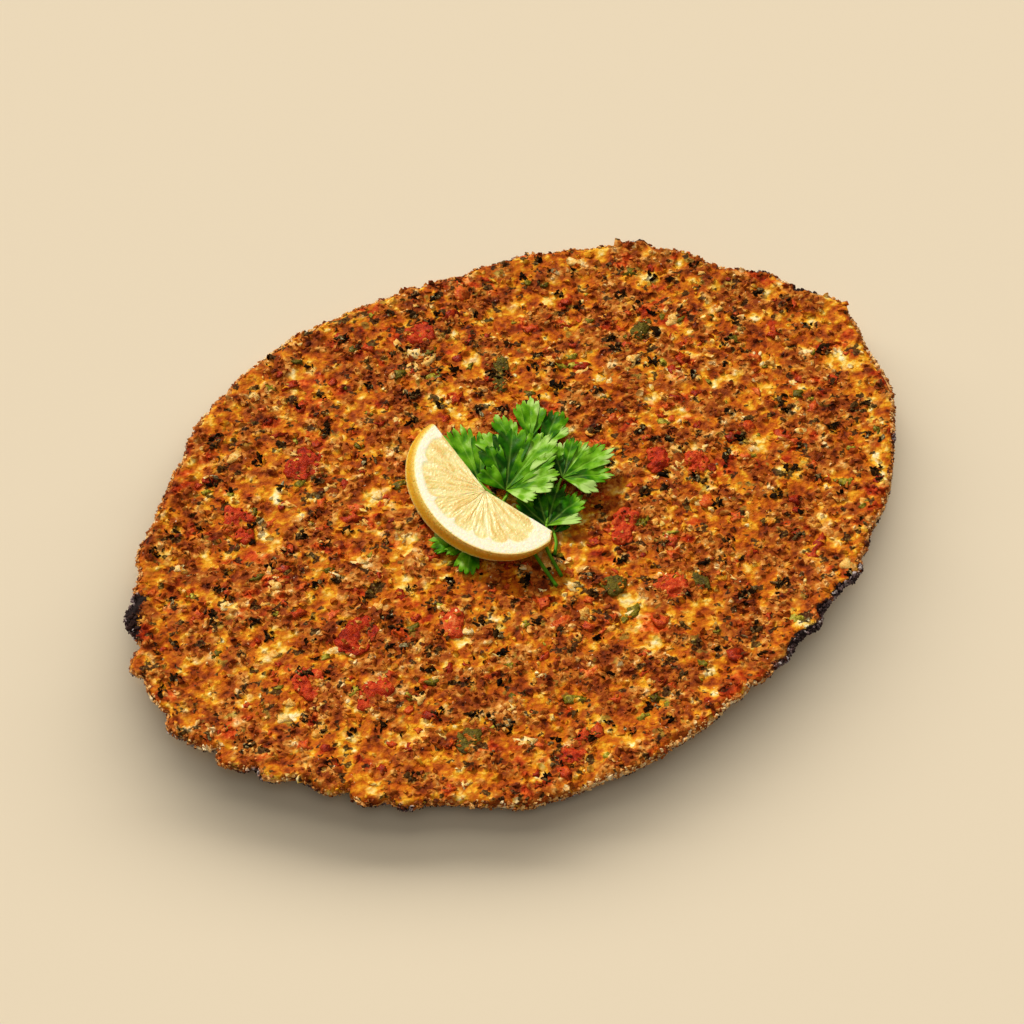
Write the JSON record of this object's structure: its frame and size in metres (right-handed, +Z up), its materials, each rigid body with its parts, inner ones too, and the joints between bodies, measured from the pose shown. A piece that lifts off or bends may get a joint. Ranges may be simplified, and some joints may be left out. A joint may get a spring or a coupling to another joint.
{
  "type": "lahmacun",
  "caption": "Thin oval flatbread baked with a spiced mince spread, diced tomato and green pepper, garnished with half a slice of lemon and parsley.",
  "frame": {"origin": "centre of the oval's box, on the flat underside", "axes": "+X along the oval's long axis, towards the leaf side of the parsley; +Y across it; +Z up, out of the topping"},
  "size_m": [0.2954, 0.2182, 0.016],
  "materials": {
    "baked_dough": "baked dough, golden to cream with charred edges",
    "spiced_mince": "oily baked mince with charred crumbs and herbs",
    "cooked_tomato": "moist cooked tomato",
    "green_pepper": "moist cooked green pepper",
    "lemon": "cut lemon with pale pith and pored rind",
    "parsley": "fresh leaf green with paler veins"
  },
  "bodies": {
    "root": {"bread": "baked_dough", "mince_topping": "spiced_mince", "tomato_piece_1": "cooked_tomato", "tomato_piece_2": "cooked_tomato", "tomato_piece_3": "cooked_tomato", "tomato_piece_4": "cooked_tomato", "tomato_piece_5": "cooked_tomato", "tomato_piece_6": "cooked_tomato", "tomato_piece_7": "cooked_tomato", "tomato_piece_8": "cooked_tomato", "tomato_piece_9": "cooked_tomato", "tomato_piece_10": "cooked_tomato", "tomato_piece_11": "cooked_tomato", "tomato_piece_12": "cooked_tomato", "pepper_piece_1": "green_pepper", "pepper_piece_2": "green_pepper", "pepper_piece_3": "green_pepper", "pepper_piece_4": "green_pepper", "pepper_piece_5": "green_pepper", "lemon_half_slice": "lemon", "parsley_sprig_1": "parsley", "parsley_sprig_2": "parsley", "parsley_sprig_3": "parsley", "parsley_sprig_4": "parsley"}
  },
  "joints": []
}
